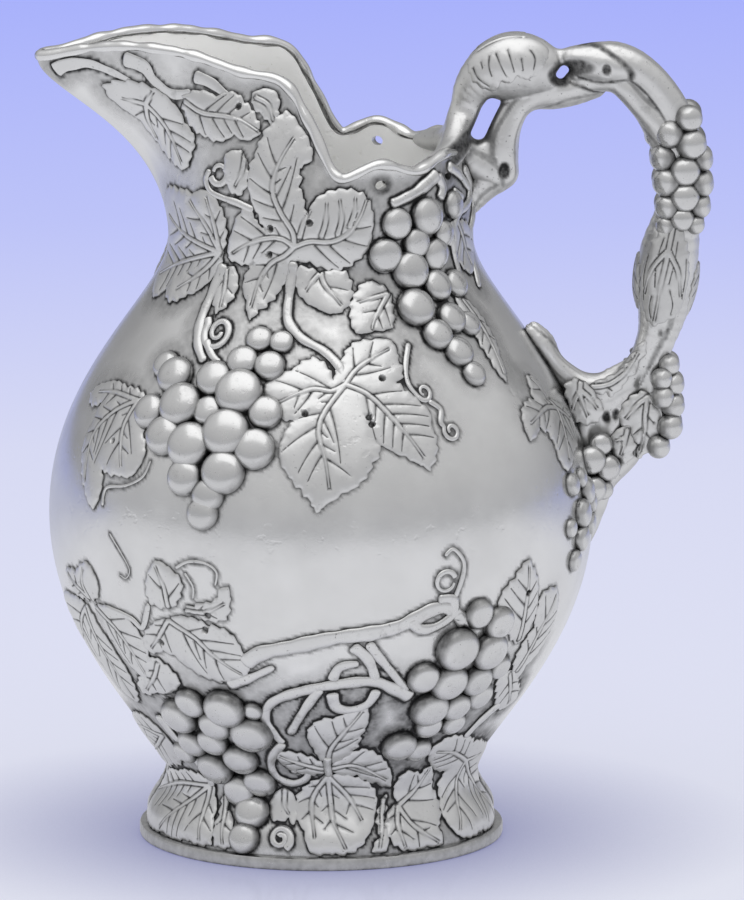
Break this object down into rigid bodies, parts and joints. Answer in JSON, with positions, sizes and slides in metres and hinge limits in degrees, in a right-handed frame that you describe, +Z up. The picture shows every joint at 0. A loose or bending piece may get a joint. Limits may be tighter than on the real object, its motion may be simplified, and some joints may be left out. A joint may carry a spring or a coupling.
{
  "type": "ewer",
  "caption": "Footed metal ewer with a bulbous bowl, long pouring lip, scalloped rim, vine-branch handle and applied grape and leaf relief, for serving drinks.",
  "frame": {"origin": "Centre of the ring that the foot stands on, on the axis of the bowl.", "axes": "+Z up, the pouring lip points along -X and the handle along +X; the two decorated sides face -Y and +Y."},
  "size_m": [0.211, 0.17, 0.2547],
  "materials": {
    "body_metal": "hand-polished cast metal with a soft mirror",
    "leaf_metal": "cast metal polished on the high points, dark in the veins",
    "grape_metal": "polished domes with dark gaps between them",
    "vine_metal": "cast metal polished on the high points, dark along the edges"
  },
  "bodies": {
    "root": {"foot": "body_metal", "lower_bowl": "body_metal", "shoulder": "body_metal", "neck_lip": "body_metal", "rim_bead": "body_metal", "handle_branch": "vine_metal", "handle_inner_branch": "vine_metal", "thumb_leaf": "leaf_metal", "handle_bunch": "grape_metal", "handle_leaf_wrap": "leaf_metal", "fork_bunch": "grape_metal", "front_spout_leaf": "leaf_metal", "front_lip_leaf": "leaf_metal", "front_neck_leaf": "leaf_metal", "front_throat_leaf": "leaf_metal", "front_shoulder_leaf": "leaf_metal", "front_bunch_leaf": "leaf_metal", "front_collar_leaf": "leaf_metal", "front_heel_leaf": "leaf_metal", "front_outer_leaf": "leaf_metal", "front_lower_leaf": "leaf_metal", "front_flank_leaf": "leaf_metal", "front_foot_leaf": "leaf_metal", "front_foot_side_leaf": "leaf_metal", "front_foot_heel_leaf": "leaf_metal", "front_root_leaf": "leaf_metal", "front_fork_leaf": "leaf_metal", "front_shoulder_bunch": "grape_metal", "front_neck_bunch": "grape_metal", "front_lower_bunch": "grape_metal", "front_flank_bunch": "grape_metal", "front_root_bunch": "grape_metal", "front_upper_vines": "vine_metal", "front_lower_vines": "vine_metal", "front_tendrils": "vine_metal", "back_spout_leaf": "leaf_metal", "back_lip_leaf": "leaf_metal", "back_neck_leaf": "leaf_metal", "back_throat_leaf": "leaf_metal", "back_shoulder_leaf": "leaf_metal", "back_bunch_leaf": "leaf_metal", "back_collar_leaf": "leaf_metal", "back_heel_leaf": "leaf_metal", "back_outer_leaf": "leaf_metal", "back_lower_leaf": "leaf_metal", "back_flank_leaf": "leaf_metal", "back_foot_leaf": "leaf_metal", "back_foot_side_leaf": "leaf_metal", "back_foot_heel_leaf": "leaf_metal", "back_root_leaf": "leaf_metal", "back_fork_leaf": "leaf_metal", "back_shoulder_bunch": "grape_metal", "back_neck_bunch": "grape_metal", "back_lower_bunch": "grape_metal", "back_flank_bunch": "grape_metal", "back_root_bunch": "grape_metal", "back_upper_vines": "vine_metal", "back_lower_vines": "vine_metal", "back_tendrils": "vine_metal"}
  },
  "joints": []
}
